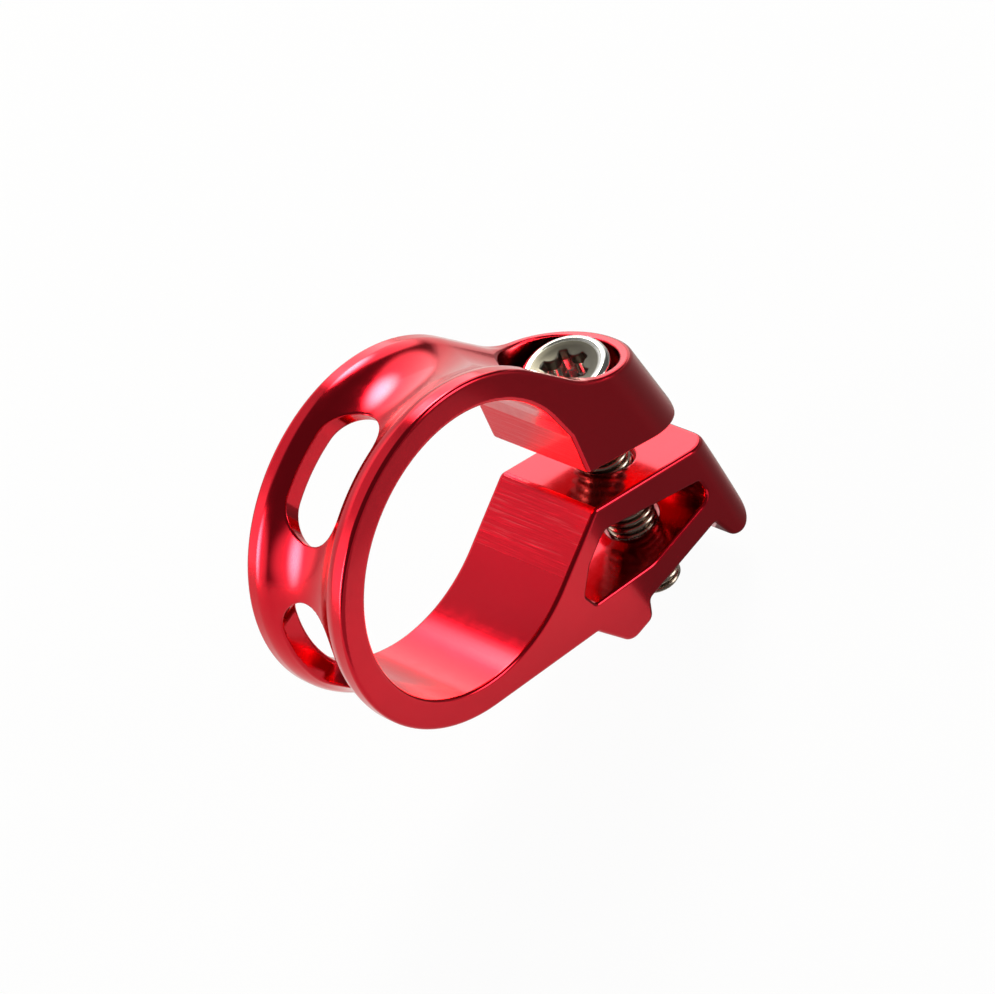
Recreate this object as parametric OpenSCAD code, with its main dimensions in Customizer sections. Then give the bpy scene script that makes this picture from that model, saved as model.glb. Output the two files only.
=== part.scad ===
// Clamp that carries a trigger shifter on a handlebar.
// The band, the ear over the slit and the hollow foot under it are machined from
// one piece of aluminium. One screw drops through the ear and the foot and bites
// in the shifter, so it closes the band and holds the shifter in one go.
// The bar lies along Y, the screw stands along Z with its head up, and the origin
// is the middle of the bar bore.

/* [Bar bore] */
// Diameter of the handlebar where the clamp sits
bar_d = 22.2; // [20:0.1:24]
// Width of the clamp along the bar
clamp_w = 9.6; // [9:0.1:14]
// Chamfer at both ends of the bore
bore_chamfer = 0.4; // [0.2:0.05:0.6]
// Angle where the upper jaw leaves the round bore
upper_relief_a = 15.4; // [12:0.2:20]
// Distance that the upper jaw stands back from the round bore
jaw_step = 0.35; // [0.2:0.05:0.5]
// Angle where the lower jaw leaves the round bore
lower_relief_a = -61.5; // [-66:0.5:-56]

/* [Band] */
// Height of the two flanges over the bore
flange_h = 2.3; // [1.8:0.05:3]
// Width of the land on top of each flange
flange_land = 1.45; // [1:0.05:1.8]
// Wall left over the bore in the middle of the groove
floor_t = 1.25; // [0.9:0.05:1.6]
// Angle where the groove runs into the counterbore
groove_start_a = 14; // [12:1:20]
// Angle where the groove ends under the foot
groove_end_a = 247; // [235:1:250]

/* [Slots] */
// Width of the slots through the band
slot_w = 5; // [3:0.1:6]
// Middle of the first slot, counted from the ear side
slot_1_mid = 114; // [108:0.5:118]
// Length of the first slot as an angle
slot_1_span = 49; // [30:0.5:52]
// Middle of the second slot
slot_2_mid = 186; // [182:0.5:192]
// Length of the second slot as an angle
slot_2_span = 55; // [30:0.5:60]

/* [Screw] */
// Thread diameter of the screw
screw_d = 4; // [3:0.5:4.5]
// Length of the screw under its head
screw_l = 20; // [18:1:24]
// Diameter of the screw's head
head_d = 7; // [6:0.1:7.4]
// Height of the screw's head
head_h = 4; // [2.5:0.1:4.5]
// Free space round the screw in its holes
screw_play = 0.25; // [0.1:0.05:0.4]
// Distance from the bore's axis to the screw's axis
screw_x = 16.5; // [16.2:0.1:18]
// Height of the seat under the screw's head
head_seat_z = -3.1; // [-3.6:0.1:-2.6]
// Free space round the head in its counterbore
head_play = 0.6; // [0.3:0.05:0.7]
// Radius of the rounded edge round the head's top
head_edge_r = 0.5; // [0.2:0.1:0.8]
// Radius of the dish in the head's top
dish_r = 2.5; // [2.3:0.1:2.7]
// Depth of the dish in the head's top
dish_depth = 0.4; // [0.2:0.1:0.8]
// Width of the key's recess across its lobes
key_w = 3.85; // [3.3:0.05:3.9]
// Width of the key's recess across its hollows
key_flat_w = 2.8; // [2.4:0.1:3]
// Depth of the recess for the key
key_depth = 2.2; // [1.4:0.1:2.6]
// Chamfer at the screw's end
tip_chamfer = 0.5; // [0.2:0.1:0.8]

/* [Ear] */
// Height of the ear's top at the screw's axis
ear_top_z = 1.8; // [1.2:0.1:2.6]
// Fall of the ear's top towards its end
ear_top_a = 28; // [22:1:32]
// Radius of the hollow between the band and the ear
ear_hollow_r = 9; // [4:0.5:10]
// Height of the ear's underside at the screw's axis
ear_under_z = -5.9; // [-6.4:0.1:-5.4]
// Fall of the ear's underside towards its end
ear_under_a = 23.5; // [18:0.5:27]
// Distance from the screw's axis to the ear's end, at the height of the bar's axis
ear_reach = 4.95; // [4.9:0.05:5.5]
// Lean of the ear's end
ear_lean_a = 11.8; // [8:0.2:14]
// Radius of the upright corners at the ear's end
ear_corner_r = 4.7; // [3:0.1:4.7]

/* [Foot] */
// Opening of the slit at the screw's axis
slit_w = 3.2; // [2.4:0.1:4]
// Fall of the foot's top towards its end
foot_top_a = 21.3; // [17:0.1:24]
// Height of the seat for the shifter
seat_z = -18.3; // [-19:0.05:-17.6]
// Distance from the screw's axis to the hook
hook_gap = 3.75; // [3.2:0.05:4.4]
// Depth of the hook under the seat
hook_h = 3.2; // [2.4:0.1:4.2]
// Distance from the screw's axis to the tooth
tooth_gap = 4.5; // [3.6:0.1:5]
// Depth of the tooth under the seat
tooth_h = 1.7; // [1:0.1:2.4]
// Width of the tooth at its tip
tooth_w = 2.6; // [2:0.1:3.4]
// Slope of the tooth's flank towards the band
tooth_flank_a = 58; // [48:1:66]
// Distance from the screw's axis to the top of the foot's end
foot_reach = 6.5; // [6:0.1:8]
// Distance from the screw's axis to the outside of the hook
hook_reach = 7.8; // [7.4:0.1:9]
// Fall of the foot's underside, from the band to the tooth
foot_under_a = 17.8; // [14:0.2:21]
// Radius of the upright corners at the foot's end
foot_corner_r = 2.6; // [1:0.1:4]
// Lean of those corners
foot_lean_a = 8; // [6:0.5:12]

/* [Window] */
// Wall between the foot's top and the window, at the screw's axis
window_roof_t = 2.8; // [2:0.1:3.4]
// Wall between the window and the seat
window_floor_t = 2.4; // [1.8:0.1:3]
// Wall between the window and the bore's lower jaw
window_jaw_t = 2; // [1.6:0.1:3]
// Wall between the window and the foot's underside
window_under_t = 2.4; // [1.8:0.1:3]
// Fall of the window's roof towards the foot's end
window_roof_a = 25.5; // [22:0.5:27]
// Distance from the screw's axis to the far end of the window
window_reach = 4.25; // [3.6:0.05:4.8]
// Distance from the screw's axis to the bend over the window's near end
window_knee = 8.2; // [7.6:0.1:8.8]
// Distance from the screw's axis to the near end of the window
window_heel = 9.75; // [9:0.05:10.2]

/* [Hidden] */

$fn = 96;
// Overlap that lets one cut run out of a solid
OVER = 1;
// Steps in one rounded corner of an outline
CORNER_STEPS = 8;

bore_r = bar_d / 2;
flange_r = bore_r + flange_h;
half_w = clamp_w / 2;

// The groove is a part of a circle that ends at the two lands
groove_half = half_w - flange_land;
groove_depth = flange_h - floor_t;
groove_r = (groove_half * groove_half + groove_depth * groove_depth) / (2 * groove_depth);
groove_ring_r = flange_r - groove_depth + groove_r;

// The ear leaves the flange along the tangent at this angle
ear_leave_a = 37;

// The ear and the foot reach this far into the band
lap_r = bore_r * 0.8;
lap_a = 10;

// The chamfer of the bore stops this angle before the jaws' flats
jaw_margin_a = 2;

hole_r = screw_d / 2 + screw_play;
counterbore_r = head_d / 2 + head_play;

// Radius of the ribs between the recess's lobes, and the flat rim round the recess
key_rib_r = 0.69;
key_rim = 0.12;

red = [0.72, 0.04, 0.09];
steel = [0.72, 0.71, 0.69];

// Point at radius r and angle a round the bore
function polar(r, a) = [r * cos(a), r * sin(a)];

// Height of a line through [x0, z0] that falls by the angle a
function falling(x0, z0, a, x) = z0 - tan(a) * (x - x0);

// Crossing of the line through p at angle a with the line through q at angle b
function crossing(p, a, q, b) =
    let (t = ((q[0] - p[0]) * sin(b) - (q[1] - p[1]) * cos(b)) / sin(b - a))
    p + t * [cos(a), sin(a)];

function unit(v) = v / norm(v);

// Points of the arc that rounds the corner q between p and s
function corner(p, q, s, r) =
    let (
        u = unit(p - q),
        v = unit(s - q),
        half = acos(u * v) / 2,
        middle = q + unit(u + v) * r / sin(half),
        from = q + u * r / tan(half),
        to = q + v * r / tan(half),
        a0 = atan2(from[1] - middle[1], from[0] - middle[0]),
        a1 = atan2(to[1] - middle[1], to[0] - middle[0]),
        turn = (a1 - a0 + 540) % 360 - 180
    )
    [for (i = [0:CORNER_STEPS]) middle + polar(r, a0 + turn * i / CORNER_STEPS)];

// Outline through corners given as [x, z, radius]
function rounded(c) = [
    for (i = [0:len(c) - 1])
        let (
            p = c[(i + len(c) - 1) % len(c)],
            q = c[i],
            s = c[(i + 1) % len(c)],
            flat = [[q[0], q[1]]]
        )
        each q[2] > 0 ? corner([p[0], p[1]], [q[0], q[1]], [s[0], s[1]], q[2]) : flat
];

// Turns what is drawn in X and Y into X and Z, with its height along the bar
module along_bar() {
    rotate([90, 0, 0]) children();
}

// Cylinder along the screw's axis
module on_screw(r, z_low, z_high) {
    translate([screw_x, 0, z_low]) cylinder(r = r, h = z_high - z_low);
}

// The ear seen along the bar, from the tangent of the band to the slit
jaw_tip_r = 0.4;
ear_top_edge_r = 0.5;
ear_low_edge_r = 1.2;
ear_leave = polar(flange_r, ear_leave_a);
inner_ear = polar(lap_r, ear_leave_a + lap_a);
ear_top_p = [screw_x, ear_top_z];
ear_under_p = [screw_x, ear_under_z];
ear_end_x = screw_x + ear_reach;
ear_edge_p = [ear_end_x + OVER / 4, 0];
ear_hollow = crossing(ear_leave, ear_leave_a - 90, ear_top_p, -ear_top_a);
ear_tip_top = crossing(ear_top_p, -ear_top_a, ear_edge_p, 90 + ear_lean_a);
ear_tip_low = crossing(ear_under_p, -ear_under_a, ear_edge_p, 90 + ear_lean_a);
jaw_x = bore_r + jaw_step;
jaw_low = falling(screw_x, ear_under_z, ear_under_a, jaw_x);

ear_outline = rounded([
    [inner_ear[0], inner_ear[1], 0],
    [ear_leave[0], ear_leave[1], 0],
    [ear_hollow[0], ear_hollow[1], ear_hollow_r],
    [ear_tip_top[0], ear_tip_top[1], ear_top_edge_r],
    [ear_tip_low[0], ear_tip_low[1], ear_low_edge_r],
    [jaw_x, jaw_low, jaw_tip_r],
    [jaw_x, 0, 0],
    [bore_r / 2, 0, 0]
]);

// The foot seen along the bar, from the slit round the hook and the tooth to the band
foot_edge_r = 0.5;
hook_bulge_r = 9;
hook_bulge_h = 2;
hook_lean = 0.2;
hook_slope = 1.25;
hook_tip_r = 1.6;
hook_root_r = 0.5;
tooth_root_r = 0.35;
tooth_slope = 0.5;
tooth_tip_r = 0.7;
tooth_toe_r = 1.5;
foot_z = ear_under_z - slit_w;
foot_leave_a = -90 - foot_under_a;
foot_leave = polar(flange_r, foot_leave_a);
inner_foot = polar(lap_r, foot_leave_a - lap_a);
foot_start_x = bore_r / 2;
foot_end_x = screw_x + foot_reach;
hook_x = screw_x + hook_gap;
hook_low = seat_z - hook_h;
hook_out = screw_x + hook_reach;
foot_round_x = hook_out + seat_z * tan(foot_lean_a);
tooth_x = screw_x - tooth_gap;
tooth_low = seat_z - tooth_h;
tooth_toe = [tooth_x - tooth_slope - tooth_w, tooth_low];
tooth_heel = crossing(foot_leave, -foot_under_a, tooth_toe, -tooth_flank_a);

foot_outline = rounded([
    [foot_start_x, falling(screw_x, foot_z, foot_top_a, foot_start_x), 0],
    [foot_end_x, falling(screw_x, foot_z, foot_top_a, foot_end_x), foot_edge_r],
    [hook_out - hook_lean, seat_z + hook_bulge_h, hook_bulge_r],
    [hook_out, hook_low, hook_tip_r],
    [hook_x + hook_slope, hook_low, hook_tip_r],
    [hook_x, seat_z, hook_root_r],
    [tooth_x, seat_z, tooth_root_r],
    [tooth_x - tooth_slope, tooth_low, tooth_tip_r],
    [tooth_toe[0], tooth_toe[1], tooth_toe_r],
    [tooth_heel[0], tooth_heel[1], hook_root_r],
    [foot_leave[0], foot_leave[1], 0],
    [inner_foot[0], inner_foot[1], 0]
]);

// The window through the foot. Its near end is a short wall across the fork between
// the window's roof and floor
window_roof_r = 0.8;
window_far_r = 0.8;
window_bend_r = 3;
window_heel_r = 0.5;
window_knee_r = 1.5;
window_heel_h = 1.45;
window_roof_z = foot_z - window_roof_t;
window_floor_z = seat_z + window_floor_t;
window_far_x = screw_x + window_reach;
window_knee_x = screw_x - window_knee;
window_heel_x = screw_x - window_heel;
jaw_wall_p = polar(bore_r + window_jaw_t, lower_relief_a);
jaw_wall_a = lower_relief_a + 90;
window_top = crossing([screw_x, window_roof_z], -window_roof_a, jaw_wall_p, jaw_wall_a);
window_low_p = polar(flange_r - window_under_t, foot_leave_a);
window_bend = crossing(window_low_p, -foot_under_a, [0, window_floor_z], 0);
window_heel_z = falling(window_low_p[0], window_low_p[1], foot_under_a, window_heel_x);

window_outline = rounded([
    [window_top[0], window_top[1], window_roof_r],
    [window_far_x, falling(screw_x, window_roof_z, window_roof_a, window_far_x), window_far_r],
    [window_far_x, window_floor_z, window_far_r],
    [window_bend[0], window_bend[1], window_bend_r],
    [window_heel_x, window_heel_z, window_heel_r],
    [window_heel_x, window_heel_z + window_heel_h, window_heel_r],
    [window_knee_x, falling(jaw_wall_p[0], jaw_wall_p[1], -jaw_wall_a, window_knee_x), window_knee_r]
]);

// Ring sector of the band, in its full width
module band() {
    along_bar() rotate([0, 0, ear_leave_a])
        rotate_extrude(angle = 360 + foot_leave_a - ear_leave_a)
            translate([bore_r - OVER, -half_w]) square([flange_h + OVER, clamp_w]);
}

// Cuts a shape drawn along the bar to the clamp's width and rounds its end,
// whose upright corners have the radius corner_r and lean by the angle lean_a
module rounded_end(end_x, corner_r, lean_a) {
    intersection() {
        children();
        translate([end_x, 0, 0]) rotate([0, -lean_a, 0])
            linear_extrude(4 * bore_r, center = true) {
                translate([-4 * bore_r, -half_w]) square([4 * bore_r - corner_r, clamp_w]);
                translate([-2 * corner_r, corner_r - half_w]) square([2 * corner_r, clamp_w - 2 * corner_r]);
                for (side = [-1, 1])
                    translate([-corner_r, side * (half_w - corner_r)]) circle(r = corner_r);
            }
    }
}

module ear() {
    rounded_end(ear_end_x, ear_corner_r, ear_lean_a)
        along_bar() linear_extrude(clamp_w + 2 * OVER, center = true) polygon(ear_outline);
}

module foot() {
    rounded_end(foot_round_x, foot_corner_r, foot_lean_a)
        along_bar() linear_extrude(clamp_w + 2 * OVER, center = true) polygon(foot_outline);
}

// Round bore with the two flats that free the jaws
module bore() {
    tangent_a = lower_relief_a + 90;
    upper_start = polar(bore_r, upper_relief_a);
    upper_end = crossing(upper_start, upper_relief_a - 90, [jaw_x, 0], 90);
    lower_start = polar(bore_r, lower_relief_a);
    lower_end = lower_start + polar(lap_r, tangent_a);
    along_bar() {
        cylinder(r = bore_r, h = clamp_w + 2 * OVER, center = true);
        linear_extrude(clamp_w + 2 * OVER, center = true) {
            polygon([[0, 0], upper_start, upper_end, [jaw_x, jaw_low - OVER / 2], [0, jaw_low - OVER / 2]]);
            polygon([[0, 0], lower_start, lower_end]);
        }
        for (side = [0, 1])
            mirror([0, 0, side]) rotate([0, 0, upper_relief_a + jaw_margin_a])
                rotate_extrude(angle = 360 + lower_relief_a - upper_relief_a - 2 * jaw_margin_a)
                    polygon([
                        [bore_r - OVER, half_w - bore_chamfer],
                        [bore_r, half_w - bore_chamfer],
                        [bore_r + bore_chamfer + OVER, half_w + OVER],
                        [bore_r - OVER, half_w + OVER]
                    ]);
    }
}

// Round-bottomed groove between the flanges
module groove() {
    along_bar() rotate([0, 0, groove_start_a])
        rotate_extrude(angle = groove_end_a - groove_start_a)
            translate([groove_ring_r, 0]) circle(r = groove_r);
}

// Slot with round ends, cut straight towards the bar
module slot(middle, span) {
    end_r = slot_w / 2;
    reach = span / 2 - end_r / bore_r * 180 / PI;
    half_l = (bore_r + flange_r) / 2 * sin(reach);
    along_bar() rotate([0, 0, middle]) translate([bore_r * cos(span / 2) - OVER, 0, 0])
        rotate([0, 90, 0]) linear_extrude(bore_r) {
            square([slot_w, 2 * half_l], center = true);
            for (side = [-1, 1])
                translate([0, side * half_l]) circle(r = end_r);
        }
}

module clamp_body() {
    color(red) difference() {
        union() {
            band();
            ear();
            foot();
        }
        bore();
        groove();
        slot(slot_1_mid, slot_1_span);
        slot(slot_2_mid, slot_2_span);
        along_bar() linear_extrude(clamp_w + 2 * OVER, center = true) polygon(window_outline);
        on_screw(counterbore_r, head_seat_z, bore_r);
        on_screw(hole_r, seat_z - OVER, head_seat_z + OVER);
    }
}

// Screw seen from the side, as [distance from its axis, height over the head's seat]
bolt_outline = rounded([
    [0, -screw_l, 0],
    [screw_d / 2 - tip_chamfer, -screw_l, 0],
    [screw_d / 2, tip_chamfer - screw_l, 0],
    [screw_d / 2, 0, 0],
    [head_d / 2, 0, 0],
    [head_d / 2, head_h, head_edge_r],
    [dish_r, head_h, 0],
    [key_w / 2 + key_rim, head_h - dish_depth, 0],
    [0, head_h - dish_depth, 0]
]);

// Six-lobed recess for the key, with a rib between each two lobes
module key_recess() {
    rib_x = key_flat_w / 2 + key_rib_r;
    translate([screw_x, 0, head_seat_z + head_h - key_depth]) difference() {
        cylinder(r = key_w / 2, h = key_depth);
        for (a = [0:60:300])
            rotate([0, 0, a]) translate([rib_x, 0, -OVER]) cylinder(r = key_rib_r, h = key_depth + 2 * OVER);
    }
}

module clamp_bolt() {
    color(steel) difference() {
        translate([screw_x, 0, head_seat_z]) rotate_extrude() polygon(bolt_outline);
        key_recess();
    }
}

clamp_body();
clamp_bolt();
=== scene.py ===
# Shifter clamp for a handlebar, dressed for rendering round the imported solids.
import math

import bpy
import numpy as np
from mathutils import Matrix, Vector


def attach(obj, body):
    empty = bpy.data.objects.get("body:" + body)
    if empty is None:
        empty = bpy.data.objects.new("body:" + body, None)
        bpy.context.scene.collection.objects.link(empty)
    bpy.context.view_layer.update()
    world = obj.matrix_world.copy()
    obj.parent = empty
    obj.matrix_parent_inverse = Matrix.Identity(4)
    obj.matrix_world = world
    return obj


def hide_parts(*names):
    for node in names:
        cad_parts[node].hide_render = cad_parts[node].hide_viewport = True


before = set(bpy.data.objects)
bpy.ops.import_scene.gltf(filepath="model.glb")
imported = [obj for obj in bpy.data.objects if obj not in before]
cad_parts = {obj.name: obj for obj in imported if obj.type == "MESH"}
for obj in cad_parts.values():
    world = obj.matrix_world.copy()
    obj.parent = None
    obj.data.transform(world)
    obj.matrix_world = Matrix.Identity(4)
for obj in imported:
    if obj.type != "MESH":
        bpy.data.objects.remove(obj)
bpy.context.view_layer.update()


# The clamp itself is one piece: a grooved band with two slots, a slanted ear with the
# counterbore for the screw's head, and a hollow foot with a tooth and a hook. It is machined
# from aluminium, its edges are broken all round, and it is anodised in a glossy red.
# Sizes are in millimetres, with the bar along Y, the screw along Z and the bore at the origin.
MM = 0.001
BORE_R = 11.1
FLANGE_R = 13.4
HALF_W = 4.8
GROOVE_HALF = 3.35
GROOVE_DEPTH = 1.05
EAR_LEAVE_A = 37.0
GROOVE_END_A = 247.0
GROOVE_RUN = 5.0
SCREW_X = 16.5
HEAD_SEAT_Z = -3.1
HEAD_R = 3.5
HOLE_R = 2.25
COUNTERBORE_R = 4.1
SEAT_Z = -18.3
SLOT_W = 5.0
SLOTS = ((114.0, 49.0), (186.0, 55.0))
JAW_X = 11.45
UPPER_RELIEF_A = 15.4
LOWER_RELIEF_A = -61.5
EAR_TOP_A, EAR_UNDER_A, EAR_LEAN_A = 28.0, 23.5, 11.8
FOOT_TOP_A, FOOT_UNDER_A, FOOT_LEAN_A = 21.3, 17.8, 8.0
EAR_END_X, EAR_CORNER_R = SCREW_X + 4.95, 4.7
FOOT_CORNER_R = 2.6
EDGE_R, SLOT_EDGE_R, WINDOW_EDGE_R = 0.3, 0.15, 0.25
SEAT_EDGE_R, HOLE_EDGE_R, HEAD_ROOM_EDGE_R = 0.25, 0.12, 0.18


def polar(r, a):
    """Point at a radius and an angle in degrees."""
    return np.array([r * math.cos(math.radians(a)), r * math.sin(math.radians(a))])


def fall(x0, z0, a, x):
    """Height at x of a line through (x0, z0) that falls at a degrees."""
    return z0 - math.tan(math.radians(a)) * (x - x0)


def crossing(p, a, q, b):
    """Crossing of the line through p at angle a with the line through q at angle b."""
    a, b = math.radians(a), math.radians(b)
    t = ((q[0] - p[0]) * math.sin(b) - (q[1] - p[1]) * math.cos(b)) / math.sin(b - a)
    return np.array([p[0] + t * math.cos(a), p[1] + t * math.sin(a)])


def rounded(corners, steps=8):
    """Points of a closed outline whose corners are given as (x, z, radius)."""
    points = []
    for i, (x, z, r) in enumerate(corners):
        q = np.array([x, z])
        if r == 0:
            points.append(q)
            continue
        u = np.array(corners[i - 1][:2]) - q
        v = np.array(corners[(i + 1) % len(corners)][:2]) - q
        u, v = u / np.linalg.norm(u), v / np.linalg.norm(v)
        half = math.acos(np.dot(u, v)) / 2
        middle = q + (u + v) / np.linalg.norm(u + v) * r / math.sin(half)
        a0 = math.atan2(*(q + u * r / math.tan(half) - middle)[::-1])
        a1 = math.atan2(*(q + v * r / math.tan(half) - middle)[::-1])
        turn = (a1 - a0 + 3 * math.pi) % (2 * math.pi) - math.pi
        for k in range(steps + 1):
            a = a0 + turn * k / steps
            points.append(middle + r * np.array([math.cos(a), math.sin(a)]))
    return np.array(points)


def outline_distance(points, x, z, hidden=()):
    """Signed distance to a closed outline, less than zero inside it. Edges whose number is in
    hidden close the outline, but aren't part of its surface."""
    nearest = np.full(np.broadcast(x, z).shape, 1e9)
    inside = np.zeros(nearest.shape, bool)
    for i, p in enumerate(points):
        q = points[(i + 1) % len(points)]
        dx, dz = q - p
        length2 = dx * dx + dz * dz
        if length2 < 1e-12:
            continue
        if i not in hidden:
            t = np.clip(((x - p[0]) * dx + (z - p[1]) * dz) / length2, 0, 1)
            nearest = np.minimum(nearest, (x - p[0] - t * dx) ** 2 + (z - p[1] - t * dz) ** 2)
        if p[1] != q[1]:
            inside ^= ((p[1] > z) != (q[1] > z)) & (x < p[0] + (z - p[1]) * dx / dz)
    return np.where(inside, -1, 1) * np.sqrt(nearest)


def cut(a, b, r):
    """Shape that is inside both a and b, with the edge between them rounded to radius r."""
    return np.minimum(-r, np.maximum(a, b)) + np.hypot(np.maximum(a + r, 0), np.maximum(b + r, 0))


def join(a, b, r):
    """Shape that is inside a or b, with the corner between them filled to radius r."""
    return -cut(-a, -b, r)


# The outline starts where the ear leaves the round band and goes round by the foot's
# underside. Its first two edges run through the bore and only close it.
ear_leave = polar(FLANGE_R, EAR_LEAVE_A)
foot_leave = polar(FLANGE_R, -90 - FOOT_UNDER_A)
ear_top, ear_under = np.array([SCREW_X, 1.8]), np.array([SCREW_X, -5.9])
ear_end = np.array([SCREW_X + 5.2, 0.0])
ear_hollow = crossing(ear_leave, EAR_LEAVE_A - 90, ear_top, -EAR_TOP_A)
ear_tip_top = crossing(ear_top, -EAR_TOP_A, ear_end, 90 + EAR_LEAN_A)
ear_tip_low = crossing(ear_under, -EAR_UNDER_A, ear_end, 90 + EAR_LEAN_A)
foot_top_z = ear_under[1] - 3.2
foot_end_x, hook_x, hook_out = SCREW_X + 6.5, SCREW_X + 3.75, SCREW_X + 7.8
tooth_x, tooth_low, hook_low = SCREW_X - 4.5, SEAT_Z - 1.7, SEAT_Z - 3.2
tooth_toe = np.array([tooth_x - 3.1, tooth_low])
tooth_heel = crossing(foot_leave, -FOOT_UNDER_A, tooth_toe, -58)
foot_end_low = hook_out + SEAT_Z * math.tan(math.radians(FOOT_LEAN_A))
slit_middle_z = ear_under[1] - 1.6

clamp_outline = rounded([
    (*ear_leave, 0),
    (0, 0, 0),
    (*foot_leave, 0),
    (*tooth_heel, 0.6),
    (*tooth_toe, 1.5),
    (tooth_x - 0.5, tooth_low, 0.7),
    (tooth_x, SEAT_Z, 0.35),
    (hook_x, SEAT_Z, 0.5),
    (hook_x + 1.25, hook_low, 1.5),
    (hook_out, hook_low, 1.6),
    (hook_out - 0.2, SEAT_Z + 2, 9),
    (foot_end_x, fall(SCREW_X, foot_top_z, FOOT_TOP_A, foot_end_x), 0.5),
    (6, fall(SCREW_X, foot_top_z, FOOT_TOP_A, 6), 0),
    (6, fall(*ear_under, EAR_UNDER_A, 6), 0),
    (*ear_tip_low, 1.2),
    (*ear_tip_top, 0.5),
    (*ear_hollow, 9),
])

jaw_low = fall(*ear_under, EAR_UNDER_A, JAW_X)
upper_start = polar(BORE_R, UPPER_RELIEF_A)
upper_relief = np.array([
    (0, 0), upper_start, crossing(upper_start, UPPER_RELIEF_A - 90, (JAW_X, 0), 90),
    (JAW_X, jaw_low - 0.5), (0, jaw_low - 0.5)])
lower_start = polar(BORE_R, LOWER_RELIEF_A)
lower_end = lower_start + polar(BORE_R * 0.8, LOWER_RELIEF_A + 90)
lower_relief = np.array([(0, 0), lower_start, lower_end])

roof = np.array([SCREW_X, foot_top_z - 2.8])
jaw_wall = polar(BORE_R + 2, LOWER_RELIEF_A)
under_wall = polar(FLANGE_R - 2.4, -90 - FOOT_UNDER_A)
window_far, window_heel, window_knee = SCREW_X + 4.25, SCREW_X - 9.75, SCREW_X - 8.2
heel_z = fall(*under_wall, FOOT_UNDER_A, window_heel)
window_outline = rounded([
    (*crossing(roof, -25.5, jaw_wall, LOWER_RELIEF_A + 90), 0.8),
    (window_far - 0.4, fall(*roof, 25.5, window_far - 0.4), 0.7),
    (window_far, SEAT_Z + 2.4, 0.9),
    (*crossing(under_wall, -FOOT_UNDER_A, (0, SEAT_Z + 2.4), 0), 3),
    (window_heel + 0.6, heel_z - 0.2, 0.5),
    (window_heel, heel_z + 1.45, 0.6),
    (window_knee, fall(*jaw_wall, -(LOWER_RELIEF_A + 90), window_knee), 1.5),
])


def side_distance(x, y, z, end_x, lean, corner_r):
    """Distance to the two side faces and the leaning end, whose upright corners are round."""
    a = math.radians(lean)
    u = (x - end_x + z * math.tan(a)) * math.cos(a) + corner_r
    v = np.abs(y) - HALF_W + corner_r
    return np.minimum(np.maximum(u, v), 0) + np.hypot(np.maximum(u, 0), np.maximum(v, 0)) - corner_r


def bore_distance(x, z):
    """Distance to the round bore and the two flats that free the jaws."""
    upper = outline_distance(upper_relief, x, z, hidden=(0, 4))
    lower = outline_distance(lower_relief, x, z, hidden=(0, 2))
    return np.minimum(np.hypot(x, z) - BORE_R, np.minimum(upper, lower))


def clamp_distance(x, y, z):
    """Signed distance in millimetres to the clamp's surface."""
    rho = np.hypot(x, z)
    turn = np.degrees(np.arctan2(z, x)) % 360
    # outline, band and side faces
    outline = outline_distance(clamp_outline, x, z, hidden=(0, 1))
    on_band = (turn > EAR_LEAVE_A) & (turn < 270 - FOOT_UNDER_A)
    ring = rho - FLANGE_R
    outer = np.where(on_band, np.where(np.abs(ring) < np.abs(outline), ring, outline), outline)
    outer = np.where(on_band & (ring < 0), -np.abs(outer), outer)
    ear_side = side_distance(x, y, z, EAR_END_X, EAR_LEAN_A, EAR_CORNER_R)
    foot_side = side_distance(x, y, z, foot_end_low, FOOT_LEAN_A, FOOT_CORNER_R)
    in_ear = z > fall(SCREW_X, slit_middle_z, 22, x)
    solid = cut(outer, np.where(in_ear, ear_side, foot_side), EDGE_R)
    # groove between the flanges, run out straight into the ear
    groove_r = (GROOVE_HALF ** 2 + GROOVE_DEPTH ** 2) / (2 * GROOVE_DEPTH)
    ring_r = FLANGE_R - GROOVE_DEPTH + groove_r
    start, end = polar(ring_r, EAR_LEAVE_A), polar(ring_r, GROOVE_END_A)
    along = polar(1, EAR_LEAVE_A - 90)
    t = np.clip((x - start[0]) * along[0] + (z - start[1]) * along[1], 0, GROOVE_RUN)
    path = np.hypot(x - start[0] - t * along[0], z - start[1] - t * along[1])
    path = np.minimum(path, np.hypot(x - end[0], z - end[1]))
    path = np.where((turn > EAR_LEAVE_A) & (turn < GROOVE_END_A), np.abs(rho - ring_r), path)
    solid = cut(solid, groove_r - np.hypot(path, y), EDGE_R)
    # two slots with round ends, cut straight towards the bar
    for middle, span in SLOTS:
        reach = math.radians(span / 2) - SLOT_W / 2 / BORE_R
        out, side = polar(1, middle), polar(1, middle + 90)
        run = np.abs(x * side[0] + z * side[1]) - (BORE_R + FLANGE_R) / 2 * math.sin(reach)
        slot = np.hypot(np.maximum(run, 0), y) - SLOT_W / 2
        slot = np.maximum(slot, BORE_R * 0.8 - x * out[0] - z * out[1])
        solid = cut(solid, -slot, SLOT_EDGE_R)
    # bore with the jaws' flats, and the window
    solid = cut(solid, -bore_distance(x, z), EDGE_R)
    solid = cut(solid, -outline_distance(window_outline, x, z), WINDOW_EDGE_R)
    # counterbore for the screw's head and the loose hole for its thread
    screw = np.hypot(x - SCREW_X, y)
    head_room = cut(screw - COUNTERBORE_R, HEAD_SEAT_Z - z, SEAT_EDGE_R)
    return cut(solid, -join(head_room, screw - HOLE_R, HOLE_EDGE_R), HEAD_ROOM_EDGE_R)


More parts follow.
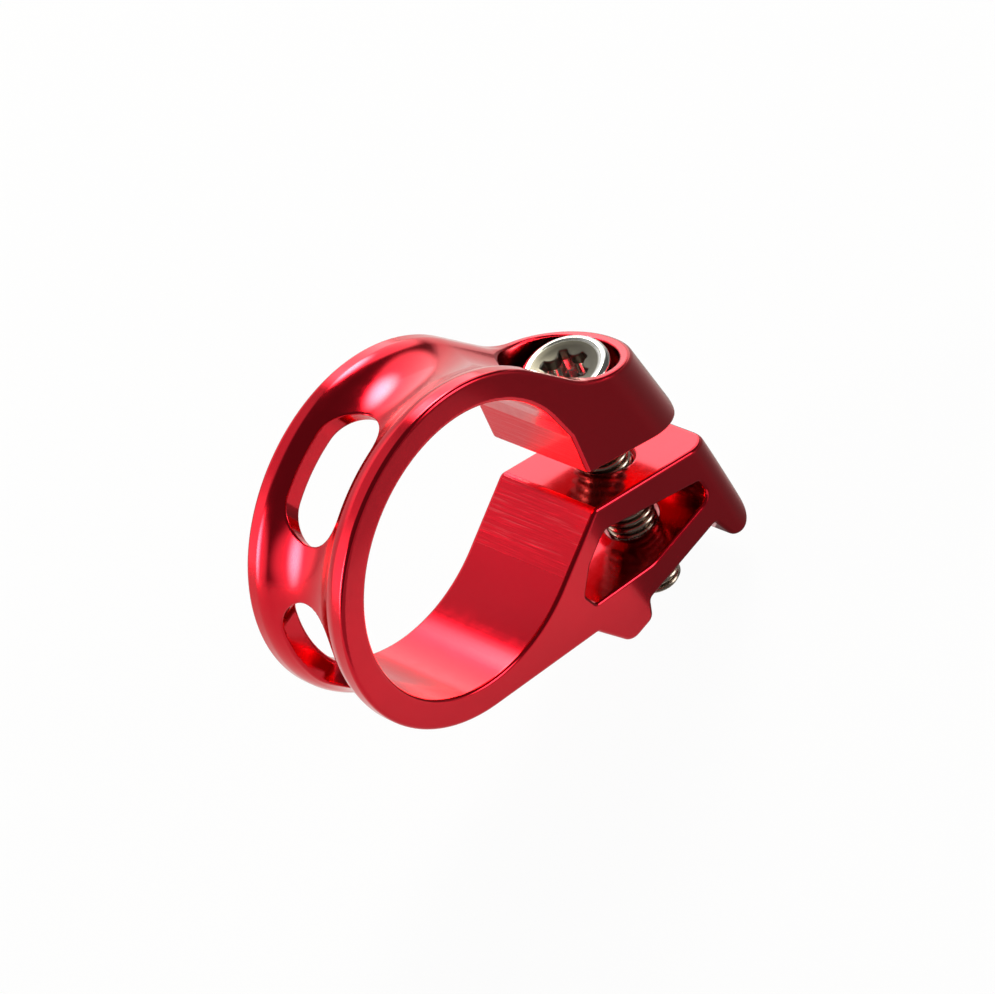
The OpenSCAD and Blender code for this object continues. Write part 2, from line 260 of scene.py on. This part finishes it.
def net(distance, low, high, step):
    """Closed mesh of quads round the zero surface of a distance function, one point to a cell."""
    axes = [np.arange(lo, hi + step, step) for lo, hi in zip(low, high)]
    field = distance(axes[0][:, None, None], axes[1][None, :, None], axes[2][None, None, :])
    field = np.broadcast_to(field, [len(a) for a in axes])
    inside = field < 0
    cells = np.array(field.shape)
    ids, spots, quads = [], [], []
    for axis in range(3):
        b, c = (axis + 1) % 3, (axis + 2) % 3
        first = [slice(None)] * 3
        second = [slice(None)] * 3
        first[axis], second[axis] = slice(0, -1), slice(1, None)
        leaving = inside[tuple(first)]
        where = np.argwhere(leaving != inside[tuple(second)])
        f0 = field[tuple(where.T)]
        other = where.copy()
        other[:, axis] += 1
        f1 = field[tuple(other.T)]
        spot = where.astype(float)
        spot[:, axis] += f0 / (f0 - f1)
        corners = []
        for db, dc in ((0, 0), (-1, 0), (-1, -1), (0, -1)):
            cell = where.copy()
            cell[:, b] += db
            cell[:, c] += dc
            corners.append(np.ravel_multi_index(cell.T, cells))
            ids.append(corners[-1])
            spots.append(spot)
        quad = np.stack(corners, 1)
        flip = ~leaving[tuple(where.T)]
        quad[flip] = quad[flip][:, ::-1]
        quads.append(quad)
    ids, spots, quads = np.concatenate(ids), np.concatenate(spots), np.concatenate(quads)
    used, back = np.unique(ids, return_inverse=True)
    count = np.bincount(back)
    points = np.stack([np.bincount(back, spots[:, k]) / count for k in range(3)], 1)
    points = np.array([a[0] for a in axes]) + points * step
    return points, np.searchsorted(used, quads)


def slope(distance, p, reach=0.01):
    """Direction in which the distance grows at each point."""
    g = np.empty_like(p)
    for k in range(3):
        d = np.zeros(3)
        d[k] = reach
        g[:, k] = distance(*(p + d).T) - distance(*(p - d).T)
    return g / np.maximum(np.linalg.norm(g, axis=1, keepdims=True), 1e-12)


def plain_mesh(obj, name):
    """The object's mesh with its modifiers applied, as a new object without any."""
    evaluated = obj.evaluated_get(bpy.context.evaluated_depsgraph_get())
    mesh = bpy.data.meshes.new_from_object(evaluated)
    bpy.data.objects.remove(obj)
    mesh.name = name
    piece = bpy.data.objects.new(name, mesh)
    bpy.context.collection.objects.link(piece)
    return piece


def milled(name, distance, low, high, step, triangles):
    """Mesh of a distance function: netted finely, thinned where it is flat, set back on the
    surface, and given the surface's own normals."""
    points, quads = net(distance, low, high, step)
    mesh = bpy.data.meshes.new(name)
    mesh.from_pydata(points * MM, [], quads.tolist())
    draft = bpy.data.objects.new(name, mesh)
    bpy.context.collection.objects.link(draft)
    thin = draft.modifiers.new("Thin", "DECIMATE")
    thin.ratio = min(1, triangles / (2 * len(quads)))
    piece = plain_mesh(draft, name)
    mesh = piece.data
    p = np.empty(len(mesh.vertices) * 3)
    mesh.vertices.foreach_get("co", p)
    p = p.reshape(-1, 3) / MM
    for _ in range(2):
        g = slope(distance, p)
        p -= g * distance(*p.T)[:, None]
    mesh.vertices.foreach_set("co", (p * MM).ravel())
    mesh.polygons.foreach_set("use_smooth", np.ones(len(mesh.polygons), bool))
    mesh.normals_split_custom_set_from_vertices(slope(distance, p).tolist())
    mesh.update()
    return piece


clamp = milled(
    "clamp", clamp_distance, low=(-13.8, -5.2, -22.0), high=(24.7, 5.2, 13.9),
    step=0.13, triangles=180000)


def group(name, inputs, outputs):
    """A shader node group with named sockets, what it is given and where its results go."""
    tree = bpy.data.node_groups.new(name, "ShaderNodeTree")
    for label, kind, value in inputs:
        socket = tree.interface.new_socket(label, in_out="INPUT", socket_type="NodeSocket" + kind)
        socket.default_value = value
    for label in outputs:
        tree.interface.new_socket(label, in_out="OUTPUT", socket_type="NodeSocketFloat")
    given, result = tree.nodes.new("NodeGroupInput"), tree.nodes.new("NodeGroupOutput")
    return tree, given.outputs, result.inputs


def node(tree, kind, inputs, **settings):
    """A node with its settings and the values or links of its inputs."""
    made = tree.nodes.new(kind)
    for key, value in settings.items():
        setattr(made, key, value)
    for key, value in inputs.items():
        if isinstance(value, bpy.types.NodeSocket):
            tree.links.new(value, made.inputs[key])
        else:
            made.inputs[key].default_value = value
    return made


def maths(tree, operation, *values):
    """Result of a math node for its values."""
    return node(tree, "ShaderNodeMath", dict(enumerate(values)), operation=operation).outputs[0]


def vectors(tree, operation, *values):
    """Result of a vector math node for its vectors."""
    made = node(tree, "ShaderNodeVectorMath", dict(enumerate(values)), operation=operation)
    return made.outputs["Value" if operation in ("LENGTH", "DOT_PRODUCT") else "Vector"]


def noise(tree, vector, scale, detail, roughness=0.5):
    """Cloudy noise between 0 and 1."""
    return node(tree, "ShaderNodeTexNoise", {
        "Vector": vector, "Scale": scale, "Detail": detail, "Roughness": roughness}).outputs[0]


def remap(tree, value, from_low, from_high, to_low=0, to_high=1, **settings):
    """A value moved from one range to another and held at its ends."""
    return node(tree, "ShaderNodeMapRange", {
        "Value": value, "From Min": from_low, "From Max": from_high,
        "To Min": to_low, "To Max": to_high}, **settings).outputs[0]


def blend(tree, share, first, second):
    """Colour that goes from the first to the second as the share grows."""
    made = node(tree, "ShaderNodeMix", {"Factor": share, 6: first, 7: second}, data_type="RGBA")
    return made.outputs[2]


def bumps(tree, height, strength, depth, coarser=None):
    """Normal of a surface with marks of a depth in millimetres, over coarser ones if given."""
    inputs = {"Height": height, "Strength": strength, "Distance": depth * MM}
    if coarser:
        inputs["Normal"] = coarser
    return node(tree, "ShaderNodeBump", inputs).outputs[0]


def object_place(tree):
    """Position on the piece before it moves."""
    return node(tree, "ShaderNodeTexCoord", {}).outputs["Object"]


# Cutter marks: fine streaks that run along one direction, from the stretch of the pattern
marks, given, result = group(
    "Cutter marks",
    [("Stretch", "Vector", (1, 1, 1)), ("Scale", "Float", 900), ("Coarse", "Float", 0.5)],
    ["Height"])
stretched = vectors(marks, "MULTIPLY", object_place(marks), given["Stretch"])
fine = noise(marks, stretched, given["Scale"], detail=3, roughness=0.6)
wide = noise(marks, stretched, maths(marks, "MULTIPLY", given["Scale"], 0.22), detail=1)
both = node(marks, "ShaderNodeMix", {"Factor": given["Coarse"], 2: fine, 3: wide})
marks.links.new(both.outputs[0], result["Height"])

# Handling: soft cloudy patches and small rubbed spots that make a finish a little duller
handling, given, result = group(
    "Handling",
    [("Scale", "Float", 150), ("Low", "Float", 0.1), ("High", "Float", 0.2)],
    ["Cloud", "Roughness"])
place = object_place(handling)
cloud = noise(handling, place, given["Scale"], detail=4, roughness=0.55)
spots = noise(handling, place, maths(handling, "MULTIPLY", given["Scale"], 9), detail=2)
rubbed = maths(handling, "MULTIPLY", cloud, spots)
dull = remap(handling, rubbed, 0.12, 0.42, given["Low"], given["High"])
handling.links.new(cloud, result["Cloud"])
handling.links.new(dull, result["Roughness"])

# Walls that face the bar: bored round, then sawn flat behind the two jaws
JAW_REACH_R = 13.2
CLEAR = 0.02
walls, given, result = group("Walls round the bar", [], ["Bored", "Sawn"])
here = node(walls, "ShaderNodeTexCoord", {}).outputs
level = vectors(walls, "MULTIPLY", here["Object"], (1, 0, 1))
facing = vectors(walls, "MULTIPLY", here["Normal"], (1, 0, 1))
rho = vectors(walls, "LENGTH", level)
outward = vectors(walls, "DOT_PRODUCT", facing, vectors(walls, "NORMALIZE", level))
across = vectors(walls, "DOT_PRODUCT", here["Object"], (0, 1, 0))
inside_edges = maths(walls, "COMPARE", across, 0, (HALF_W - EDGE_R - CLEAR) * MM)
near = maths(walls, "MULTIPLY", maths(walls, "LESS_THAN", outward, -0.3), inside_edges)
near = maths(walls, "MULTIPLY", near, maths(walls, "LESS_THAN", rho, JAW_REACH_R * MM))
off_round = maths(walls, "GREATER_THAN", rho, (BORE_R + CLEAR) * MM)
sawn = maths(walls, "MULTIPLY", near, off_round)
walls.links.new(sawn, result["Sawn"])
walls.links.new(maths(walls, "SUBTRACT", near, sawn), result["Bored"])


def finish(name, colour, **constants):
    """A material with a Principled BSDF whose constant values sit on its own sockets."""
    material = bpy.data.materials.new(name)
    material.use_nodes = True
    tree = material.node_tree
    shader = tree.nodes["Principled BSDF"].inputs
    shader["Base Color"].default_value = (*colour, 1)
    for key, value in constants.items():
        shader[key.replace("_", " ")].default_value = value
    return material, tree, shader


def use(tree, shared, **inputs):
    """Results of a shared node group, placed in a material with its own values."""
    return node(tree, "ShaderNodeGroup", inputs, node_tree=shared).outputs


# Glossy red anodising: clear dyed oxide over bright aluminium, deeper where it is thicker,
# with faint lines round the bore and torn bright streaks on the sawn walls
RED, DEEP_RED, TORN_RED = (0.76, 0.005, 0.022), (0.63, 0.002, 0.015), (0.88, 0.13, 0.15)
BORE_LINE_DEPTH, SAW_MARK_DEPTH, POLISH_DEPTH = 0.02, 0.06, 0.004
anodised, tree, shader = finish(
    "Red anodising", RED, Metallic=1, Coat_Weight=0.33, Coat_Roughness=0.08, Coat_IOR=1.5)
wear = use(tree, handling, Scale=160, Low=0.13, High=0.2)
to_bar = use(tree, walls)
bored, sawn = to_bar["Bored"], to_bar["Sawn"]
boring = use(tree, marks, Stretch=(1, 0.02, 1), Scale=1900, Coarse=0.3)["Height"]
sawing = use(tree, marks, Stretch=(1, 0.03, 1), Scale=5200, Coarse=0.35)["Height"]
polishing = use(tree, marks, Stretch=(1, 1, 1), Scale=5200, Coarse=0.3)["Height"]
torn = maths(tree, "MULTIPLY", remap(tree, sawing, 0.54, 0.7, 0, 0.5), sawn)
dyed = blend(tree, wear["Cloud"], (*RED, 1), (*DEEP_RED, 1))
tree.links.new(blend(tree, torn, dyed, (*TORN_RED, 1)), shader["Base Color"])
dull = maths(tree, "MULTIPLY_ADD", sawn, 0.2, wear["Roughness"])
dull = maths(tree, "MULTIPLY_ADD", bored, 0.06, dull)
tree.links.new(dull, shader["Roughness"])
normal = bumps(tree, maths(tree, "MULTIPLY", boring, bored), 0.6, BORE_LINE_DEPTH)
normal = bumps(tree, maths(tree, "MULTIPLY", sawing, sawn), 1, SAW_MARK_DEPTH, normal)
normal = bumps(tree, polishing, 0.25, POLISH_DEPTH, normal)
tree.links.new(normal, shader["Normal"])
clamp.data.materials.append(anodised)

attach(clamp, "clamp")
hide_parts("clamp_body")


# The screw is a steel M4 by 20 socket head cap screw. Its head sits at the bottom of the
# counterbore, has a dished top with a six-lobed recess, and is turned and polished. Its
# rolled thread passes loosely through the ear and the foot.
HEAD_TOP_Z = 0.9
SCREW_END_Z = -23.1
THREAD_R, ROOT_R, PITCH = 2.0, 1.58, 0.7
TIP_CHAMFER = 0.5
HEAD_EDGE_R, HEAD_UNDER_R, NECK_R, RIM_R = 0.62, 0.2, 0.15, 0.15
DISH_R, DISH_DEPTH = 2.75, 0.45
KEY_TURN = math.radians(12)
KEY_R, KEY_RIB_R, KEY_RIB_X, KEY_DEPTH = 1.925, 0.69, 2.09, 2.2


def screw_distance(x, y, z):
    """Signed distance to the screw without its thread."""
    x = x - SCREW_X
    rho = np.hypot(x, y)
    head = cut(cut(rho - HEAD_R, z - HEAD_TOP_Z, HEAD_EDGE_R), HEAD_SEAT_Z - z, HEAD_UNDER_R)
    core = cut(cut(rho - ROOT_R, SCREW_END_Z - z, TIP_CHAMFER * 0.4), z - HEAD_SEAT_Z - 1, 0.1)
    ball_r = (DISH_R ** 2 + DISH_DEPTH ** 2) / (2 * DISH_DEPTH)
    dish = np.sqrt(rho ** 2 + (z - HEAD_TOP_Z + DISH_DEPTH - ball_r) ** 2) - ball_r
    turn = np.arctan2(y, x) - KEY_TURN
    sixth = np.abs((turn + math.pi / 6) % (math.pi / 3) - math.pi / 6)
    rib = np.hypot(rho * np.cos(sixth) - KEY_RIB_X, rho * np.sin(sixth))
    star = cut(rho - KEY_R, KEY_RIB_R - rib, 0.12)
    key = cut(star, HEAD_TOP_Z - KEY_DEPTH - z, 0.15)
    return cut(join(head, core, NECK_R), -join(dish, key, 0.1), RIM_R)


blank = milled(
    "screw_blank", screw_distance, low=(SCREW_X - 3.8, -3.8, SCREW_END_Z - 0.3),
    high=(SCREW_X + 3.8, 3.8, HEAD_TOP_Z + 0.3), step=0.085, triangles=60000)

# The thread is a ridge that follows a helix from inside the head to just short of the tip,
# and is turned down to a cone there
THREAD_IN_HEAD, THREAD_SHORT = 0.3, 0.34
RIDGE_FOOT, RIDGE_CREST, RIDGE_HEIGHT = 0.94, 0.14, 1.1
thread = bpy.data.node_groups.new("Rolled thread", "GeometryNodeTree")
thread.interface.new_socket("Blank", in_out="INPUT", socket_type="NodeSocketGeometry")
sockets = {
    label: thread.interface.new_socket(label, in_out="INPUT", socket_type="NodeSocketFloat")
    for label in ("Pitch", "Crest Radius", "Root Radius", "Top", "Bottom", "Tip Chamfer", "Axis X")}
sockets["Steel"] = thread.interface.new_socket(
    "Steel", in_out="INPUT", socket_type="NodeSocketMaterial")
thread.interface.new_socket("Screw", in_out="OUTPUT", socket_type="NodeSocketGeometry")
given = thread.nodes.new("NodeGroupInput").outputs
result = thread.nodes.new("NodeGroupOutput").inputs

crest, root = given["Crest Radius"], given["Root Radius"]
pitch, bottom = given["Pitch"], given["Bottom"]
length = maths(thread, "SUBTRACT", given["Top"], bottom)
middle_r = maths(thread, "MULTIPLY", maths(thread, "ADD", crest, root), 0.5)
helix = node(thread, "GeometryNodeCurveSpiral", {
    "Resolution": 40, "Rotations": maths(thread, "DIVIDE", length, pitch),
    "Start Radius": middle_r, "End Radius": middle_r, "Height": length})
upright = node(thread, "GeometryNodeSetCurveNormal", {"Curve": helix.outputs[0]}, mode="Z_UP")
ridge_shape = node(thread, "GeometryNodeCurvePrimitiveQuadrilateral", {
    "Bottom Width": maths(thread, "MULTIPLY", pitch, RIDGE_FOOT),
    "Top Width": maths(thread, "MULTIPLY", pitch, RIDGE_CREST), "Offset": 0,
    "Height": maths(thread, "MULTIPLY", maths(thread, "SUBTRACT", crest, root), RIDGE_HEIGHT)},
    mode="TRAPEZOID")
turned = node(thread, "GeometryNodeTransform", {
    "Geometry": ridge_shape.outputs[0], "Rotation": (0, 0, math.pi / 2)})
ridge = node(thread, "GeometryNodeCurveToMesh", {
    "Curve": upright.outputs[0], "Profile Curve": turned.outputs[0], "Fill Caps": True})
lift = node(thread, "ShaderNodeCombineXYZ", {"Z": bottom})
lifted = node(thread, "GeometryNodeTransform", {
    "Geometry": ridge.outputs[0], "Translation": lift.outputs[0]})

# radius that the tip's cone and the crest allow at each point's height
place = node(thread, "GeometryNodeInputPosition", {}).outputs[0]
x, y, z = node(thread, "ShaderNodeSeparateXYZ", {0: place}).outputs
radius = vectors(thread, "LENGTH", vectors(thread, "MULTIPLY", place, (1, 1, 0)))
above_tip = maths(thread, "ADD", maths(thread, "SUBTRACT", z, bottom), THREAD_SHORT * MM)
allowed = maths(thread, "ADD", maths(thread, "SUBTRACT", crest, given["Tip Chamfer"]), above_tip)
allowed = maths(thread, "MINIMUM", allowed, crest)
share = maths(thread, "MINIMUM", maths(thread, "DIVIDE", allowed, radius), 1)
moved = node(thread, "ShaderNodeCombineXYZ", {
    "X": maths(thread, "MULTIPLY", x, share), "Y": maths(thread, "MULTIPLY", y, share), "Z": z})
chamfered = node(thread, "GeometryNodeSetPosition", {
    "Geometry": lifted.outputs[0], "Position": moved.outputs[0]})
aside = node(thread, "ShaderNodeCombineXYZ", {"X": given["Axis X"]})
on_axis = node(thread, "GeometryNodeTransform", {
    "Geometry": chamfered.outputs[0], "Translation": aside.outputs[0]})
joined = node(thread, "GeometryNodeJoinGeometry", {})
thread.links.new(on_axis.outputs[0], joined.inputs[0])
thread.links.new(given["Blank"], joined.inputs[0])
real = node(thread, "GeometryNodeRealizeInstances", {"Geometry": joined.outputs[0]})
steel_set = node(thread, "GeometryNodeSetMaterial", {
    "Geometry": real.outputs[0], "Material": given["Steel"]})
thread.links.new(steel_set.outputs[0], result[0])

# Bright steel, with faint rings round the screw's axis: the head's rim and side are polished,
# the dish is darker and duller, and the thread's brown is a painted reflection of the red clamp
STEEL, DISH_STEEL, THREAD_STEEL_PAINTED_REFLECTION = (0.68, 0.67, 0.63), (0.13, 0.12, 0.098), (0.46, 0.38, 0.3)
RING_DEPTH = 0.006
steel, tree, shader = finish("Bright steel", STEEL, Metallic=1)
place = object_place(tree)
from_axis = vectors(tree, "SUBTRACT", place, (SCREW_X * MM, 0, 0))
rho = vectors(tree, "LENGTH", vectors(tree, "MULTIPLY", from_axis, (1, 1, 0)))
z = node(tree, "ShaderNodeSeparateXYZ", {0: place}).outputs["Z"]
in_dish = remap(tree, rho, (DISH_R + 0.02) * MM, (DISH_R - 0.12) * MM)
dish = maths(tree, "MULTIPLY", in_dish, maths(tree, "GREATER_THAN", z, (HEAD_TOP_Z - 1.2) * MM))
threaded = maths(tree, "LESS_THAN", z, HEAD_SEAT_Z * MM)
wear = use(tree, handling, Scale=420, Low=0.1, High=0.18)
dull = maths(tree, "MULTIPLY_ADD", dish, 0.26, wear["Roughness"])
dull = maths(tree, "MULTIPLY_ADD", threaded, 0.12, dull)
tree.links.new(dull, shader["Roughness"])
tone = blend(tree, dish, (*STEEL, 1), (*DISH_STEEL, 1))
# the thread's brown base colour is a painted reflection of the red clamp around it
tone = blend(tree, threaded, tone, (*THREAD_STEEL_PAINTED_REFLECTION, 1))
tone = vectors(tree, "MULTIPLY", tone, remap(tree, wear["Cloud"], 0.3, 0.7, 0.8, 1.05))
tree.links.new(tone, shader["Base Color"])
turning = use(tree, marks, Stretch=(0.12, 0.12, 1), Scale=5200, Coarse=0.3)["Height"]
tree.links.new(bumps(tree, turning, 0.3, RING_DEPTH), shader["Normal"])

rolling = blank.modifiers.new("Rolled thread", "NODES")
rolling.node_group = thread
for label, value in (
        ("Pitch", PITCH * MM), ("Crest Radius", THREAD_R * MM), ("Root Radius", ROOT_R * MM),
        ("Top", (HEAD_SEAT_Z + THREAD_IN_HEAD) * MM), ("Bottom", (SCREW_END_Z + THREAD_SHORT) * MM),
        ("Tip Chamfer", TIP_CHAMFER * MM), ("Axis X", SCREW_X * MM), ("Steel", steel)):
    rolling[sockets[label].identifier] = value
screw = plain_mesh(blank, "screw")
screw.data.polygons.foreach_set("use_smooth", np.ones(len(screw.data.polygons), bool))

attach(screw, "bolt")
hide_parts("clamp_bolt")


# A white table and backdrop, oval softboxes on either side and behind, a strip light in
# front, and a dark and a grey card flat on the table before the clamp, where its polished
# faces mirror the photographer's side of the studio.
CENTRE = Vector((0.005, 0, -0.004))
CAMERA_AT = Vector((-0.106278, -0.180442, 0.195470))
CAMERA_RIGHT = Vector((0.60835, -0.728091, -0.315902))
CAMERA_UP = Vector((0.692572, 0.292601, 0.659339))
CAMERA_BACK = Vector((-0.387626, -0.619894, 0.682259))
SENSOR = 36
FOCAL_PIXELS, PHOTO_PIXELS = 4000, 995
lens = bpy.data.cameras.new("Camera")
lens.sensor_width = SENSOR
lens.lens = SENSOR * FOCAL_PIXELS / PHOTO_PIXELS
lens.clip_start = 0.01
camera = bpy.data.objects.new("Camera", lens)
turned_to = Matrix((CAMERA_RIGHT, CAMERA_UP, CAMERA_BACK)).transposed().to_4x4()
camera.matrix_world = Matrix.Translation(CAMERA_AT) @ turned_to
bpy.context.collection.objects.link(camera)
bpy.context.scene.camera = camera

FLOOR_Z = -0.0235
CARD_LIFT = 0.0003
WHITE, MATT_WHITE, CARD_BLACK = (1, 1, 1, 1), (0.6, 0.6, 0.6, 1), (0.01, 0.01, 0.01)
SEEN_WHITE = 0.96


def stage_material(name, mirrored):
    """Matt white that the camera and the metal see lit evenly, with some shadow kept. The
    share mirrored is how white it is in the metal."""
    material = bpy.data.materials.new(name)
    material.use_nodes = True
    tree = material.node_tree
    tree.nodes.clear()
    path = node(tree, "ShaderNodeLightPath", {}).outputs
    in_metal = maths(tree, "MULTIPLY", path["Is Glossy Ray"], mirrored)
    seen = maths(tree, "MULTIPLY_ADD", path["Is Camera Ray"], SEEN_WHITE, in_metal)
    matt = node(tree, "ShaderNodeBsdfDiffuse", {"Color": MATT_WHITE})
    white = node(tree, "ShaderNodeEmission", {"Color": WHITE, "Strength": 1})
    mix = node(tree, "ShaderNodeMixShader", {0: seen, 1: matt.outputs[0], 2: white.outputs[0]})
    node(tree, "ShaderNodeOutputMaterial", {"Surface": mix.outputs[0]})
    return material


def card_material(name, grey):
    """Black card that shows as an even grey."""
    material, tree, shader = finish(name, CARD_BLACK)
    shader["Emission Color"].default_value = WHITE
    shader["Emission Strength"].default_value = grey
    return material


def sheet(name, corners, material, place=Matrix()):
    """A flat stage piece with the given corners, set in its place."""
    mesh = bpy.data.meshes.new(name)
    mesh.from_pydata(corners, [], [tuple(range(len(corners)))])
    mesh.materials.append(material)
    piece = bpy.data.objects.new(name, mesh)
    piece.matrix_world = place
    bpy.context.collection.objects.link(piece)
    return piece


def facing_from(centre, normal):
    """Place at a centre, turned to face along a normal."""
    return Matrix.Translation(centre) @ Vector(normal).to_track_quat("Z", "Y").to_matrix().to_4x4()


for name, width, depth, centre, normal, mirrored in (
        ("table", 4, 4, (0, 0.1, FLOOR_Z), (0, 0, 1), 0.43),
        ("backdrop", 2.4, 0.8, (0, 0.8, 0.35), (0, -1, 0), 0.7)):
    w, d = width / 2, depth / 2
    sheet(name, [(-w, -d, 0), (w, -d, 0), (w, d, 0), (-w, d, 0)],
          stage_material(name.capitalize() + " white", mirrored), facing_from(centre, normal))

# the cards show only in reflections
for name, grey, outline in (
        ("dark_card", 0.12, [(0.012, -0.004), (0.019, -0.02), (0.026, -0.035), (0.03, -0.3),
                             (0.4, -0.3), (0.4, 0.06), (0.045, 0.03), (0.026, 0)]),
        ("grey_card", 0.35, [(-0.4, -0.3), (0.03, -0.3), (0.026, -0.035), (-0.4, -0.035)])):
    card = sheet(name, [(x, y, FLOOR_Z + CARD_LIFT) for x, y in outline], card_material(name, grey))
    card.visible_camera = card.visible_diffuse = card.visible_shadow = False


def softbox(name, azimuth, elevation, distance, width, height, brightness, edge, colour):
    """An oval lamp that shines on the clamp from an azimuth and an elevation in degrees. It is
    as bright as the metal mirrors it, and fades to its rim from the share edge of its radius."""
    light = bpy.data.lights.new(name, "AREA")
    light.shape = "ELLIPSE"
    light.size, light.size_y = width, height
    light.energy = brightness * math.pi * (math.pi / 4 * width * height)
    light.color = colour
    light.use_nodes = True
    tree = light.node_tree
    spot = node(tree, "ShaderNodeNewGeometry", {}).outputs["Parametric"]
    far = vectors(tree, "LENGTH", vectors(tree, "SUBTRACT", spot, (0.5, 0.5, 0)))
    fade = remap(tree, far, edge / 2, 0.5, 1, 0, interpolation_type="SMOOTHSTEP")
    tree.links.new(fade, tree.nodes["Emission"].inputs["Strength"])
    a, e = math.radians(azimuth), math.radians(elevation)
    towards = Vector((math.cos(e) * math.cos(a), math.cos(e) * math.sin(a), math.sin(e)))
    lamp = bpy.data.objects.new(name, light)
    lamp.matrix_world = facing_from(CENTRE + towards * distance, towards)
    lamp.visible_camera = False
    bpy.context.collection.objects.link(lamp)


NEUTRAL, WARM = (1, 1, 1), (1, 0.98, 0.84)
softbox("softbox_right", 33, 25, 0.5, 0.56, 0.56, brightness=1.8, edge=0.7, colour=NEUTRAL)
softbox("softbox_right_middle", 35, 42, 0.42, 0.26, 0.26, brightness=26, edge=0.1, colour=WARM)
softbox("softbox_left", 155, 15, 0.5, 0.8, 0.5, brightness=1.1, edge=0.5, colour=NEUTRAL)
softbox("softbox_left_middle", 156, 15, 0.42, 0.2, 0.34, brightness=20, edge=0.1, colour=WARM)
softbox("softbox_back", 100, 40, 0.6, 1.0, 0.6, brightness=0.6, edge=0.4, colour=NEUTRAL)
softbox("strip_front", -49, 14, 0.5, 0.26, 0.42, brightness=6, edge=0.4, colour=NEUTRAL)

# the dim walls of the room, which the camera sees as white
ROOM_LIGHT = 0.12
world = bpy.data.worlds.new("Studio")
bpy.context.scene.world = world
world.use_nodes = True
tree = world.node_tree
tree.nodes.clear()
to_camera = node(tree, "ShaderNodeLightPath", {}).outputs["Is Camera Ray"]
room = node(tree, "ShaderNodeBackground", {"Color": WHITE, "Strength": ROOM_LIGHT})
white = node(tree, "ShaderNodeBackground", {"Color": WHITE, "Strength": 1})
mix = node(tree, "ShaderNodeMixShader", {0: to_camera, 1: room.outputs[0], 2: white.outputs[0]})
node(tree, "ShaderNodeOutputWorld", {"Surface": mix.outputs[0]})

bpy.context.scene.view_settings.view_transform = "Standard"
